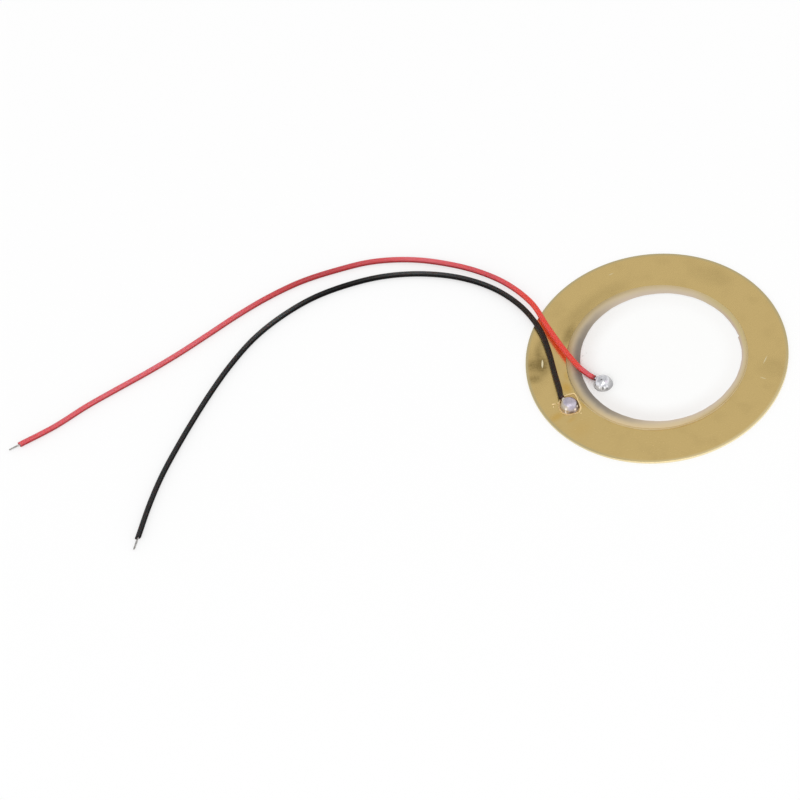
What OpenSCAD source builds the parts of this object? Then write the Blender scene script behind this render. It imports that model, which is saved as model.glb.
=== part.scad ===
// Piezo disc with two soldered leads.
// A thin ceramic disc with silver electrodes is glued to a brass plate.
// The red lead is soldered to the upper electrode, the black lead to the brass.
// The plate lies flat on the table, the leads rise over its rim and come down to the table.
// Origin: centre of the plate's back face. +Z up, leads run towards -X.

/* [Brass plate] */
// Diameter of the plate
plate_d = 35; // [34:0.5:50]
// Thickness of the plate
plate_t = 0.3; // [0.2:0.05:0.6]
// Rounding of the plate's stamped upper edge
plate_edge_r = 0.06; // [0.02:0.01:0.1]

/* [Ceramic and electrodes] */
// Diameter of the ceramic disc
ceramic_d = 24; // [20:0.5:24.5]
// Thickness of the ceramic disc
ceramic_t = 0.22; // [0.15:0.01:0.4]
// Thickness of the adhesive film under the ceramic
bond_t = 0.03; // [0.02:0.01:0.06]
// Width of the adhesive bead around the ceramic's foot
bead_w = 0.15; // [0.05:0.05:0.3]
// Height of the adhesive bead
bead_h = 0.1; // [0.07:0.01:0.15]
// Thickness of each silver electrode
electrode_t = 0.01; // [0.005:0.005:0.015]
// Bare margin of the ceramic around the electrode that shows
upper_margin = 1.3; // [0.8:0.1:3]
// Bare margin of the ceramic around the electrode under it
lower_margin = 1; // [0.5:0.1:4]
// How far the upper electrode is printed off centre, along X
print_shift_x = 0.45; // [-0.5:0.05:0.5]
// How far the upper electrode is printed off centre, along Y
print_shift_y = -0.2; // [-0.5:0.05:0.5]
// Radius of the printing flaw in the upper electrode's edge
print_nick_r = 0.15; // [0.05:0.01:0.3]
// Direction of the printing flaw, seen from the electrode's centre
print_nick_angle = 9.5; // [-60:0.5:60]

/* [Solder joints] */
// Radius of a solder dome
dome_r = 1.1; // [0.8:0.05:1.4]
// How far a dome's foot spreads beyond the dome
foot_w = 0.2; // [0.1:0.05:0.3]
// Gap between the red joint's foot and the electrode's edge
red_joint_inset = 0.75; // [0.2:0.05:3]
// Direction of the red joint, seen from the upper electrode's centre
red_joint_angle = 202.5; // [190:0.5:215]
// Gap between the black joint's foot and the adhesive bead
black_joint_gap = 0.4; // [0.1:0.05:0.5]
// Direction of the black joint, seen from the plate's centre
black_joint_angle = 207; // [195:1:220]
// Height of the wire's centre above the foot of its joint
exit_h = 0.6; // [0.5:0.05:0.7]
// Length of wire buried in a joint, from the dome's side
buried_l = 0.75; // [0.4:0.05:0.8]
// Plan direction in which the red wire leaves its joint
red_exit_angle = 145; // [130:5:160]
// Plan direction in which the black wire leaves its joint
black_exit_angle = 130; // [115:5:145]
// Thickness of the dried flux around the black joint
flux_t = 0.03; // [0.01:0.01:0.05]

/* [Leads] */
// Diameter over the insulation
insulation_d = 0.75; // [0.6:0.05:0.9]
// Diameter of the tinned wire inside
conductor_d = 0.25; // [0.2:0.05:0.4]
// Clearance around the wire, in the insulation and in the solder
wire_clearance = 0.02; // [0.01:0.005:0.03]
// Gap between a solder dome and the cut end of the insulation
insulation_gap = 0.1; // [0.05:0.05:0.3]
// Bare length of the red wire at its free end
red_strip_l = 1.6; // [1:0.1:6]
// Bare length of the black wire at its free end
black_strip_l = 2; // [1:0.1:6]

/* [Hidden] */
$fn = 96;

// Heights of the layers, from the table up
bond_top = plate_t + bond_t;
ceramic_top = bond_top + ceramic_t;
electrode_top = ceramic_top + electrode_t;

// Diameters of the electrodes: the one that shows, and the one under the ceramic
upper_electrode_d = ceramic_d - 2 * upper_margin;
lower_electrode_d = ceramic_d - 2 * lower_margin;

// A joint's foot meets its dome on a small concave arc: the arc touches the base plane
// at foot_r and the dome's sphere where the line between the two centres crosses it.
foot_r = dome_r + foot_w;
fillet_r = (foot_r * foot_r - dome_r * dome_r) / (2 * dome_r);
fillet_top = fillet_r * dome_r / (dome_r + fillet_r);

// Places of the joints, and the heights of their feet
print_centre = [print_shift_x, print_shift_y, 0];
red_joint_reach = upper_electrode_d / 2 - red_joint_inset - foot_r;
black_joint_reach = ceramic_d / 2 + bead_w + black_joint_gap + foot_r;
red_joint = print_centre + red_joint_reach * plan(red_joint_angle) + [0, 0, electrode_top];
black_joint = black_joint_reach * plan(black_joint_angle) + [0, 0, plate_t];

// The wire runs this far from a joint's axis: its buried end, and where the insulation starts
wire_start = dome_r - buried_l;
bore_start = wire_start - wire_clearance;
bore_l = foot_r;
insulation_start = dome_r + insulation_gap;

// Outline of the flux: round lobes as [x, y, radius] from the black joint's axis
flux_lobes = [[0, 0.2, 1.8], [-0.9, 0.3, 1.5], [0.2, 0.8, 1.5]];

// The leads' cross-section is swept with this many sides and this spacing of rings
lead_sides = 8;
ring_step = 3 * insulation_d;

// Routes of the leads as [x, y, lift], with lift the height of the insulation's underside
red_route = [
    [-10, -1.3, 0.8], [-11.1, 0.5, 0.8], [-12.6, 3.6, 0.8], [-14, 7, 0.75],
    [-15.6, 11.1, 0.7], [-18.5, 14.9, 0.55], [-22.2, 17.8, 0.4], [-26.5, 20, 0.2],
    [-31, 21.4, 0.1], [-36, 21.9, 0], [-41, 21.2, 0], [-45.8, 20, 0],
    [-50.3, 18.1, 0], [-54.5, 15.8, 0], [-58.8, 13.1, 0], [-63, 10.5, 0],
    [-67.3, 8.1, 0], [-71.8, 5.8, 0], [-76, 3.6, 0], [-80.5, 0.9, 0],
    [-85.4, -1.4, 0]
];
black_route = [
    [-13.4, -3.6, 0.5], [-13.8, -0.4, 0.4], [-14.2, 3.2, 0.4], [-15, 6.9, 0.4],
    [-17.1, 11.1, 0.35], [-20.4, 14.7, 0.25], [-24.7, 17.3, 0.15], [-29.6, 18.8, 0.05],
    [-34.7, 19.2, 0], [-39.7, 18.5, 0], [-44.5, 17, 0], [-49, 14.5, 0],
    [-52.8, 11.5, 0], [-56.2, 7.7, 0], [-59.2, 3.6, 0], [-62, -0.7, 0],
    [-64.6, -5, 0], [-67.1, -9.5, 0], [-69.2, -14.1, 0], [-71.2, -19.3, 0]
];

// Unit vector in plan at an angle
function plan(angle) = [cos(angle), sin(angle), 0];

function unit(v) = v / norm(v);

// Where the wire's centre is, a distance out of a joint
function on_exit(joint, angle, distance) = joint + distance * plan(angle) + [0, 0, exit_h];

// All points that a lead's insulation passes through, from its joint to its free end
function lead_points(joint, angle, route) = concat(
    [on_exit(joint, angle, insulation_start)],
    [for (p = route) [p.x, p.y, p.z + insulation_d / 2]]
);

// Direction of the curve at point i: along the exit at the joint, along the last chord at the
// free end, and between them the chord from neighbour to neighbour
function heading(points, i, first) =
    i == 0 ? first
    : i == len(points) - 1 ? unit(points[i] - points[i - 1])
    : (points[i + 1] - points[i - 1])
        / (norm(points[i + 1] - points[i]) + norm(points[i] - points[i - 1]));

// Cubic from a to b, with directions ta and tb, at t from 0 to 1
function cubic(a, b, ta, tb, t) =
    let (s = norm(b - a))
    (2 * t * t * t - 3 * t * t + 1) * a + (t * t * t - 2 * t * t + t) * s * ta
    + (3 * t * t - 2 * t * t * t) * b + (t * t * t - t * t) * s * tb;

// A lead never dips below its height on the table
function rest(p) = [p.x, p.y, max(p.z, insulation_d / 2)];

// Centres of the rings: the smooth curve through the points, cut about every ring_step
function centreline(points, first) = concat(
    [for (i = [0 : len(points) - 2])
        let (a = points[i], b = points[i + 1])
        let (ta = heading(points, i, first), tb = heading(points, i + 1, first))
        let (cuts = max(1, round(norm(b - a) / ring_step)))
        for (k = [0 : cuts - 1]) rest(cubic(a, b, ta, tb, k / cuts))],
    [points[len(points) - 1]]
);

// Centreline of a lead's insulation, from its joint to the end of the sleeve
function lead_line(joint, angle, route) =
    centreline(lead_points(joint, angle, route), plan(angle));

// One ring of corners around centre i, square to the centreline
function ring(line, i, radius) =
    let (ahead = line[min(i + 1, len(line) - 1)], behind = line[max(i - 1, 0)])
    let (along = unit(ahead - behind))
    let (side = unit(cross(along, [0, 0, 1])), up = cross(side, along))
    [for (k = [0 : lead_sides - 1])
        let (a = 360 * k / lead_sides)
        line[i] + radius * (cos(a) * side + sin(a) * up)];

function rings(line, radius) = [for (i = [0 : len(line) - 1]) each ring(line, i, radius)];

// Number of a corner, counted ring by ring from an offset
function corner(i, k, offset) = offset + i * lead_sides + k % lead_sides;

// Two triangles for each face of a wall of rings, facing outwards
function wall(count, offset) = [
    for (i = [0 : count - 2], k = [0 : lead_sides - 1])
        let (a = corner(i, k, offset), b = corner(i, k + 1, offset))
        let (c = corner(i + 1, k + 1, offset), d = corner(i + 1, k, offset))
        each [[a, b, c], [a, c, d]]
];

function flipped(faces) = [for (f = faces) [f[2], f[1], f[0]]];

// Flat fan over ring i
function cap(i) = [for (k = [1 : lead_sides - 2])
    [corner(i, 0, 0), corner(i, k + 1, 0), corner(i, k, 0)]];

// Flat annulus between ring i of the outer wall and of the inner wall
function annulus(i, offset) = [
    for (k = [0 : lead_sides - 1])
        let (a = corner(i, k, 0), b = corner(i, k + 1, 0))
        let (c = corner(i, k + 1, offset), d = corner(i, k, offset))
        each [[a, c, b], [a, d, c]]
];

// Hollow tube along a line
module sleeve(line, outer_r, inner_r) {
    count = len(line);
    offset = count * lead_sides;
    polyhedron(
        points = concat(rings(line, outer_r), rings(line, inner_r)),
        faces = concat(
            wall(count, 0), flipped(wall(count, offset)),
            annulus(0, offset), flipped(annulus(count - 1, offset))
        )
    );
}

// Solid rod along a line
module rod(line, radius) {
    count = len(line);
    polyhedron(
        points = rings(line, radius),
        faces = concat(wall(count, 0), cap(0), flipped(cap(count - 1)))
    );
}

module lead_insulation(joint, angle, route) {
    line = lead_line(joint, angle, route);
    sleeve(line, insulation_d / 2, conductor_d / 2 + wire_clearance);
}

// The wire starts inside the joint's bore and ends bare, in line with the insulation
module lead_wire(joint, angle, route, strip_l) {
    line = lead_line(joint, angle, route);
    last = len(line) - 1;
    tip = line[last] + strip_l * unit(line[last] - line[last - 1]);
    rod(concat([on_exit(joint, angle, wire_start)], line, [tip]), conductor_d / 2);
}

// Dome with a concave foot, bored from the side for the wire
module solder_joint(joint, angle) {
    difference() {
        translate(joint) rotate_extrude() {
            intersection() {
                circle(dome_r);
                square(dome_r);
            }
            difference() {
                square([foot_r, fillet_top]);
                translate([foot_r, fillet_r]) circle(fillet_r);
            }
        }
        translate(on_exit(joint, angle, bore_start)) rotate([0, 90, angle])
            cylinder(h = bore_l, r = conductor_d / 2 + wire_clearance);
    }
}

// Stamped sheet: the upper edge is rolled over, the lower edge is left sharp
module brass_plate() {
    color([0.75, 0.65, 0.44]) rotate_extrude() {
        square([plate_d / 2, plate_t - plate_edge_r]);
        square([plate_d / 2 - plate_edge_r, plate_t]);
        translate([plate_d / 2 - plate_edge_r, plate_t - plate_edge_r]) circle(plate_edge_r);
    }
}

// Adhesive film with a bead around the ceramic's foot and a seat for the lower electrode
module bond_layer() {
    color([0.72, 0.62, 0.42]) difference() {
        translate([0, 0, plate_t]) rotate_extrude() polygon([
            [0, 0], [ceramic_d / 2 + bead_w, 0], [ceramic_d / 2, bead_h],
            [ceramic_d / 2, bond_t], [0, bond_t]
        ]);
        translate([0, 0, bond_top - electrode_t])
            cylinder(h = 2 * electrode_t, d = lower_electrode_d);
    }
}

module lower_electrode() {
    color([0.86, 0.86, 0.85]) translate([0, 0, bond_top - electrode_t])
        cylinder(h = electrode_t, d = lower_electrode_d);
}

module ceramic_disc() {
    color([0.72, 0.66, 0.53]) translate([0, 0, bond_top]) cylinder(h = ceramic_t, d = ceramic_d);
}

// Printed silver, a little off centre, with a small flaw in its edge
module upper_electrode() {
    nick = upper_electrode_d / 2 * plan(print_nick_angle);
    color([0.95, 0.95, 0.94]) translate(print_centre + [0, 0, ceramic_top]) difference() {
        cylinder(h = electrode_t, d = upper_electrode_d);
        translate(nick - [0, 0, electrode_t]) cylinder(h = 3 * electrode_t, r = print_nick_r);
    }
}

module red_solder_joint() {
    color([0.80, 0.80, 0.81]) solder_joint(red_joint, red_exit_angle);
}

module black_solder_joint() {
    color([0.68, 0.66, 0.68]) solder_joint(black_joint, black_exit_angle);
}

// Dried film of rosin flux around the black joint's foot, stopped by the adhesive bead
module flux_residue() {
    color([0.72, 0.53, 0.22]) translate(black_joint) linear_extrude(flux_t) difference() {
        for (lobe = flux_lobes) translate([lobe.x, lobe.y]) circle(lobe.z);
        circle(foot_r);
        translate([-black_joint.x, -black_joint.y]) circle(ceramic_d / 2 + bead_w);
    }
}

module red_lead_insulation() {
    color([0.86, 0.31, 0.29]) lead_insulation(red_joint, red_exit_angle, red_route);
}

module red_lead_wire() {
    color([0.72, 0.71, 0.70]) lead_wire(red_joint, red_exit_angle, red_route, red_strip_l);
}

module black_lead_insulation() {
    color([0.16, 0.15, 0.15]) lead_insulation(black_joint, black_exit_angle, black_route);
}

module black_lead_wire() {
    color([0.72, 0.71, 0.70]) lead_wire(black_joint, black_exit_angle, black_route, black_strip_l);
}

brass_plate();
bond_layer();
lower_electrode();
ceramic_disc();
upper_electrode();
red_solder_joint();
black_solder_joint();
flux_residue();
red_lead_insulation();
red_lead_wire();
black_lead_insulation();
black_lead_wire();
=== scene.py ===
# %% [markdown]
# # A piezo disc with two soldered leads
#
# A piezo disc is the flat sounder found in alarms, greeting cards and contact pickups. A thin
# ceramic disc is glued to a brass plate. Silver is printed on both faces of the ceramic, a red lead
# is soldered to the silver and a black lead to the brass.
#
# This lesson dresses a finished CAD model of one. The CAD model fixes every size and place, so the
# first step loads it as a frame, and each later step either gives a CAD node its finish or builds
# a finer surface in the same place.

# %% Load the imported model
import math

import bpy
import numpy as np
from mathutils import Matrix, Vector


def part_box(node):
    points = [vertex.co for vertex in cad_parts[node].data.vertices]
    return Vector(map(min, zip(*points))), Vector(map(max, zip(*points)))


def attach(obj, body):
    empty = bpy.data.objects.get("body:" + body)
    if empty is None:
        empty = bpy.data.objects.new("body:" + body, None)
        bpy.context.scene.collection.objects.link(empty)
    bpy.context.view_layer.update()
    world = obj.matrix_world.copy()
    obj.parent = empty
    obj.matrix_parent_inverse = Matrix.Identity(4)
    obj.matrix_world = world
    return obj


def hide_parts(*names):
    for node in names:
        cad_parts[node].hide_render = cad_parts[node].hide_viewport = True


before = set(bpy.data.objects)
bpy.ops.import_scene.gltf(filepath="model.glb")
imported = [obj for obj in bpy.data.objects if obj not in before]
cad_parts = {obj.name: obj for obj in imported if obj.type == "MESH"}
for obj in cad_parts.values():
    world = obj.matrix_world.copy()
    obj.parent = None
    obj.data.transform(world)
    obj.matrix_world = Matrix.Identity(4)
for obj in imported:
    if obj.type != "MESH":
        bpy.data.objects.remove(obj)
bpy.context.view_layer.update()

print("CAD nodes:", ", ".join(sorted(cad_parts)))

# %% [markdown]
# ## Sizes
#
# Blender works in metres and the parts are a few millimetres across, so sizes are written as
# a number times MM. What the frame can tell is read from the frame: the radius of the plate, the
# heights of the layers and the places of the two solder joints. What it can't tell is named here.

# %% Sizes read from the frame
MM = 0.001


def box_of(node):
    """Lowest and highest corner of a CAD node, as arrays in metres."""
    low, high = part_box(node)
    return np.array(low), np.array(high)


def foot_of(node):
    """Middle of a CAD node in plan, at its lowest height."""
    low, high = box_of(node)
    return np.array([(low[0] + high[0]) / 2, (low[1] + high[1]) / 2, low[2]])


PLATE_R = box_of("brass_plate")[1][0]
PLATE_TOP = box_of("brass_plate")[1][2]
BEAD_R, BEAD_TOP = box_of("bond_layer")[1][[0, 2]]
CERAMIC_R, CERAMIC_TOP = box_of("ceramic_disc")[1][[0, 2]]
CERAMIC_FOOT = box_of("ceramic_disc")[0][2]
PRINT_FOOT = foot_of("upper_electrode")
PRINT_AXIS = PRINT_FOOT * [1, 1, 0]
PRINT_TOP = box_of("upper_electrode")[1][2]
PRINT_R = (box_of("upper_electrode")[1][1] - box_of("upper_electrode")[0][1]) / 2
RED_JOINT = foot_of("red_solder_joint")
BLACK_JOINT = foot_of("black_solder_joint")
FOOT_R = (box_of("red_solder_joint")[1][0] - box_of("red_solder_joint")[0][0]) / 2
DOME_R = box_of("red_solder_joint")[1][2] - RED_JOINT[2]
FLUX_T = box_of("flux_residue")[1][2] - PLATE_TOP
for label, radius in (("plate", PLATE_R), ("ceramic", CERAMIC_R), ("solder drops", DOME_R)):
    print(f"{label} {2 * radius / MM:.1f} mm across")

# %% [markdown]
# ## The camera
#
# The camera comes first, because it decides how much detail each piece needs. It looks down at
# 52 degrees along +Y and leans a little, so the leads slope down to the left. A very long lens from
# three metres away keeps near and far edges the same size, as a studio camera does.

# %% Camera
VIEW_CENTRE = np.array([-34.558, -1.765, 0.3]) * MM
VIEW_WIDTH = 106.19 * MM
VIEW_DISTANCE = 3.0
VIEW_ELEVATION = math.radians(52.2)
VIEW_LEAN = math.radians(7.08)
SENSOR_WIDTH = 36.0
CLIP_START = 0.1


def linked(name, data):
    """An object that shows a mesh, a camera or a lamp, linked to the scene."""
    made = bpy.data.objects.new(name, data)
    bpy.context.scene.collection.objects.link(made)
    return made


def posed(across, upward, back, place):
    """The matrix whose columns are three unit vectors and a place."""
    return Matrix(np.vstack([np.column_stack([across, upward, back, place]), [0, 0, 0, 1]]))


def make_camera():
    """Camera on the line (0, -cos e, sin e) from the centre of view, leaning about that line."""
    cosine, sine = math.cos(VIEW_ELEVATION), math.sin(VIEW_ELEVATION)
    back = np.array([0, -cosine, sine])
    level, upright = np.array([1.0, 0, 0]), np.array([0, sine, cosine])
    across = math.cos(VIEW_LEAN) * level - math.sin(VIEW_LEAN) * upright
    upward = math.sin(VIEW_LEAN) * level + math.cos(VIEW_LEAN) * upright
    data = bpy.data.cameras.new("camera")
    data.sensor_width = SENSOR_WIDTH
    data.lens = SENSOR_WIDTH * VIEW_DISTANCE / VIEW_WIDTH
    data.clip_start, data.clip_end = CLIP_START, 2 * VIEW_DISTANCE
    camera = linked("camera", data)
    camera.matrix_world = posed(across, upward, back, VIEW_CENTRE + VIEW_DISTANCE * back)
    bpy.context.scene.camera = camera
    print(f"lens {data.lens:.0f} mm, view {VIEW_WIDTH / MM:.1f} mm wide")


make_camera()

# %% [markdown]
# ## Surfaces from arrays
#
# Every new piece here is a grid of points with quads between neighbours. A disc, a dome and a lead
# are all the same thing to the mesh: rows of rings. So one helper numbers the quads of any grid,
# one closes the ends of a stack of rings, and one puts points and faces into a mesh. Nothing loops
# over single vertices, so even the twisted strands take only a moment.

# %% Grids and meshes
def quads(rows, columns, loop=False):
    """Corner numbers of the quads in a grid whose columns run round; with loop, rows do too.

    Corner (i, j) has the number i * columns + j, and its quad goes to (i, j + 1), (i + 1, j + 1)
    and (i + 1, j), with numbers past the last row or column starting again at the first."""
    i = np.arange(rows if loop else rows - 1)[:, None]
    j = np.arange(columns)[None, :]
    ahead, beside = (i + 1) % rows, (j + 1) % columns
    return np.stack([i * columns + j, i * columns + beside, ahead * columns + beside,
                     ahead * columns + j], -1).reshape(-1, 4)


def fan(ring, centre, flip=False):
    """Triangles from each edge of a ring of corner numbers to the number of a centre point."""
    one, two = ring, np.roll(ring, -1)
    if flip:
        one, two = two, one
    return np.column_stack([one, two, np.full(len(ring), centre)])


def capped(rings, first, last):
    """Points and faces of rows of rings, with a fan to a centre point at the first and last."""
    rows, sides = rings.shape[:2]
    count, ring = rows * sides, np.arange(sides)
    return np.vstack([rings.reshape(-1, 3), first, last]), [
        quads(rows, sides), fan(ring, count, flip=True), fan(ring + count - sides, count + 1)]


def piece(name, points, faces, replaces, slot):
    """A mesh object from points and a list of face arrays, riding on the body.

    Each face array is faces by corners. Loops are laid end to end, so a face starts where the
    corner counts of all faces before it add up to. replaces lists the CAD nodes that the piece
    stands for. slot, the name of its material slot in the record, is not used."""
    mesh = bpy.data.meshes.new(name)
    sizes = np.concatenate([np.full(len(f), f.shape[1]) for f in faces])
    corners = np.concatenate([f.ravel() for f in faces])
    mesh.vertices.add(len(points))
    mesh.vertices.foreach_set("co", np.asarray(points, np.float32).ravel())
    mesh.loops.add(len(corners))
    mesh.loops.foreach_set("vertex_index", corners.astype(np.int32))
    mesh.polygons.add(len(sizes))
    mesh.polygons.foreach_set("loop_start", (np.cumsum(sizes) - sizes).astype(np.int32))
    mesh.polygons.foreach_set("use_smooth", np.full(len(sizes), True))
    mesh.update(calc_edges=True)
    mesh.validate()
    made = linked(name, mesh)
    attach(made, "root")
    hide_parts(*replaces)
    print(f"{name}: {len(points)} points, {len(sizes)} faces")
    return made


def around(sides):
    """Angles of the points of a ring: full turn * number / sides."""
    return 2 * np.pi * np.arange(sides) / sides


def polar(radius, a, height):
    """Points (radius * cos a, radius * sin a, height)."""
    return np.stack([radius * np.cos(a), radius * np.sin(a), height], -1)


def ripple(angle, *waves):
    """Sum of waves round a circle: amount * cos(count * angle + phase), for (amount, count, phase)."""
    return sum(amount * np.cos(count * angle + phase) for amount, count, phase in waves)


def heading(turn, rise):
    """Unit vector from a turn about Z and a rise above level, both in degrees."""
    t, r = math.radians(turn), math.radians(rise)
    return np.array([math.cos(r) * math.cos(t), math.cos(r) * math.sin(t), math.sin(r)])


# %% [markdown]
# ## The leads
#
# Each lead is about 95 mm of soft PVC sleeve over seven tinned strands. It lies on the table in one
# loose arc, rises over the rim of the plate and ends in its solder joint. The route is a short list
# of points, the same as in the CAD source, joined by cubic curves, so the lead that
# is seen is where the CAD lead is.
#
# A curve object with a bevel would do for a plain lead. A sleeve with a cut end, a wall and a bore
# needs more, so it is a mesh: rings along the outside, over the cut face and back through the bore.

# %% Routes of the leads
LEAD_R = 0.375 * MM
BORE_R = 0.145 * MM
EXIT_H = 0.6 * MM
SLEEVE_START = 1.2 * MM
WIRE_START = 0.35 * MM
RED_EXIT = math.radians(145)
BLACK_EXIT = math.radians(130)

# Each point is x, y and the height of the sleeve's underside
RED_ROUTE = MM * np.array([
    [-10, -1.3, 0.8], [-11.1, 0.5, 0.8], [-12.6, 3.6, 0.8], [-14, 7, 0.75],
    [-15.6, 11.1, 0.7], [-18.5, 14.9, 0.55], [-22.2, 17.8, 0.4], [-26.5, 20, 0.2],
    [-31, 21.4, 0.1], [-36, 21.9, 0], [-41, 21.2, 0], [-45.8, 20, 0],
    [-50.3, 18.1, 0], [-54.5, 15.8, 0], [-58.8, 13.1, 0], [-63, 10.5, 0],
    [-67.3, 8.1, 0], [-71.8, 5.8, 0], [-76, 3.6, 0], [-80.5, 0.9, 0],
    [-85.4, -1.4, 0],
])
BLACK_ROUTE = MM * np.array([
    [-13.4, -3.6, 0.5], [-13.8, -0.4, 0.4], [-14.2, 3.2, 0.4], [-15, 6.9, 0.4],
    [-17.1, 11.1, 0.35], [-20.4, 14.7, 0.25], [-24.7, 17.3, 0.15], [-29.6, 18.8, 0.05],
    [-34.7, 19.2, 0], [-39.7, 18.5, 0], [-44.5, 17, 0], [-49, 14.5, 0],
    [-52.8, 11.5, 0], [-56.2, 7.7, 0], [-59.2, 3.6, 0], [-62, -0.7, 0],
    [-64.6, -5, 0], [-67.1, -9.5, 0], [-69.2, -14.1, 0], [-71.2, -19.3, 0],
])


def exit_point(joint, angle, distance):
    """Where the wire's centre is, that far out of a joint, or a row for each of many distances."""
    return joint + np.multiply.outer(distance, [math.cos(angle), math.sin(angle), 0]) + [0, 0, EXIT_H]


def lead_line(joint, angle, route, step):
    """Centreline of a sleeve: a cubic through each pair of points, cut about every step.

    A cubic from a to b with directions p and q is (2t^3 - 3t^2 + 1) a + (t^3 - 2t^2 + t) s p
    + (3t^2 - 2t^3) b + (t^3 - t^2) s q, with s the distance from a to b. The direction at a point
    is the chord between its neighbours over the length of the two chords beside it."""
    knots = np.vstack([exit_point(joint, angle, SLEEVE_START), route + [0, 0, LEAD_R]])
    chords = np.diff(knots, axis=0)
    spans = np.linalg.norm(chords, axis=1)
    inner = (knots[2:] - knots[:-2]) / (spans[1:] + spans[:-1])[:, None]
    ways = np.vstack([[math.cos(angle), math.sin(angle), 0], inner, chords[-1] / spans[-1]])
    cuts = np.maximum(1, np.round(spans / step)).astype(int)
    part = np.repeat(np.arange(len(spans)), cuts)
    first = np.repeat(np.cumsum(cuts) - cuts, cuts)
    t = ((np.arange(cuts.sum()) - first) / cuts[part])[:, None]
    s = spans[part][:, None]
    line = ((2 * t**3 - 3 * t**2 + 1) * knots[part] + (t**3 - 2 * t**2 + t) * s * ways[part]
            + (3 * t**2 - 2 * t**3) * knots[part + 1] + (t**3 - t**2) * s * ways[part + 1])
    line[:, 2] = np.maximum(line[:, 2], LEAD_R)
    return np.vstack([line, knots[-1]])


def directions(line):
    """Unit vectors at each point of a line: along it, level beside it, and up from it."""
    along = np.gradient(line, axis=0)
    along /= np.linalg.norm(along, axis=1)[:, None]
    side = np.cross(along, [0, 0, 1])
    side /= np.linalg.norm(side, axis=1)[:, None]
    return along, side, np.cross(side, along)


def travelled(line):
    """Distance along a line to each of its points."""
    return np.concatenate([[0], np.cumsum(np.linalg.norm(np.diff(line, axis=0), axis=1))])


# %% Sleeves
SLEEVE_STEP = 0.3 * MM
SLEEVE_SIDES = 28
LIP_R = 0.04 * MM
SHRINK = 0.08
SHRINK_REACH = 0.7 * MM
RED_SLANT, BLACK_SLANT = 0.08 * MM, 0.24 * MM


def mark(made, name, values):
    """Keeps a number or a vector for each point on the piece, for its finish to read."""
    kind, field = ("FLOAT", "value") if np.ndim(values) == 1 else ("FLOAT_VECTOR", "vector")
    attribute = made.data.attributes.new(name, kind, "POINT")
    attribute.data.foreach_set(field, np.asarray(values, np.float32).ravel())


def sleeve(name, line, slant, **settings):
    """A tube with a bore, as one grid that is closed along both ways.

    A ring is centre + shift * along + radius * (cos a * side - sin a * up). The rings go along the
    outside, over the rounded lip of the cut and back through the bore, so the wall has a thickness.
    The heat of soldering shrinks the outside near the joint by shrink * exp(-distance / reach), and
    a slanted cut moves the rings at the free end along by slant * cos a. Each point keeps how far
    along it lies in mm, and its cos a and -sin a, for the finish."""
    along, side, up = directions(line)
    walked, last = travelled(line), len(line) - 1
    turn = np.radians([0, 30, 60, 90])
    back, inward = LIP_R * (1 - np.sin(turn)), LIP_R * (1 - np.cos(turn))
    body = np.arange(1, last)
    start, end, straight = np.full(len(turn), 0), np.full(len(turn), last), np.zeros(len(body))
    row = np.concatenate([start, body, end, end, body[::-1], start])
    shift = np.concatenate([back[::-1], straight, -back, -back[::-1], straight, back])
    radius = np.concatenate([
        (LEAD_R - inward)[::-1], straight + LEAD_R, LEAD_R - inward,
        (BORE_R + inward)[::-1], straight + BORE_R, BORE_R + inward])
    outer = (radius - BORE_R) / (LEAD_R - BORE_R)
    radius -= outer * LEAD_R * SHRINK * np.exp(-walked[row] / SHRINK_REACH)
    a = np.pi / 2 + around(SLEEVE_SIDES)[None, :]
    shift = shift[:, None] + (row == last)[:, None] * slant * np.cos(a)
    points = (line[row][:, None] + shift[..., None] * along[row][:, None]
              + radius[:, None, None] * (np.cos(a)[..., None] * side[row][:, None]
                                         - np.sin(a)[..., None] * up[row][:, None]))
    lay = np.stack([np.broadcast_to(walked[row][:, None] / MM, shift.shape),
                    np.broadcast_to(np.cos(a), shift.shape),
                    np.broadcast_to(-np.sin(a), shift.shape)], -1)
    made = piece(name, points.reshape(-1, 3), [quads(len(row), SLEEVE_SIDES, loop=True)], **settings)
    mark(made, "lay", lay)
    return made


red_line = lead_line(RED_JOINT, RED_EXIT, RED_ROUTE, SLEEVE_STEP)
black_line = lead_line(BLACK_JOINT, BLACK_EXIT, BLACK_ROUTE, SLEEVE_STEP)
red_sleeve = sleeve("red_sleeve", red_line, RED_SLANT,
                    replaces=["red_lead_insulation"], slot="red_insulation")
black_sleeve = sleeve("black_sleeve", black_line, BLACK_SLANT,
                      replaces=["black_lead_insulation"], slot="black_insulation")
for colour, line in (("red", red_line), ("black", black_line)):
    print(f"{colour} sleeve {travelled(line)[-1] / MM:.1f} mm long")

# %% [markdown]
# ## Strands
#
# Inside each sleeve one tinned strand runs straight and six are laid round it, one turn every few
# millimetres. A strand is a thin rod whose centreline winds round the centreline of the lead, so
# the twist is in its path and needs no simulation. At the free end the strands are bare and have
# sprung apart a little.

# %% Strands
STRAND_R = 0.04 * MM
STRAND_SIDES = 8
STRAND_LAY = 5 * MM
OUTER_STRANDS = 6
BURIED_STEPS, TIP_STEPS = 4, 12
# Bare length and how far the strands have sprung apart on it
RED_STRIP, RED_SPRING = 1.6 * MM, 0.005 * MM
BLACK_STRIP, BLACK_SPRING = 2 * MM, 0.03 * MM
# Outer strand k is cut short by mean + swing * cos(turn * k), as a share of the bare length
CUT_MEAN, CUT_SWING, CUT_TURN = 0.06, 0.05, 2.4


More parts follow.
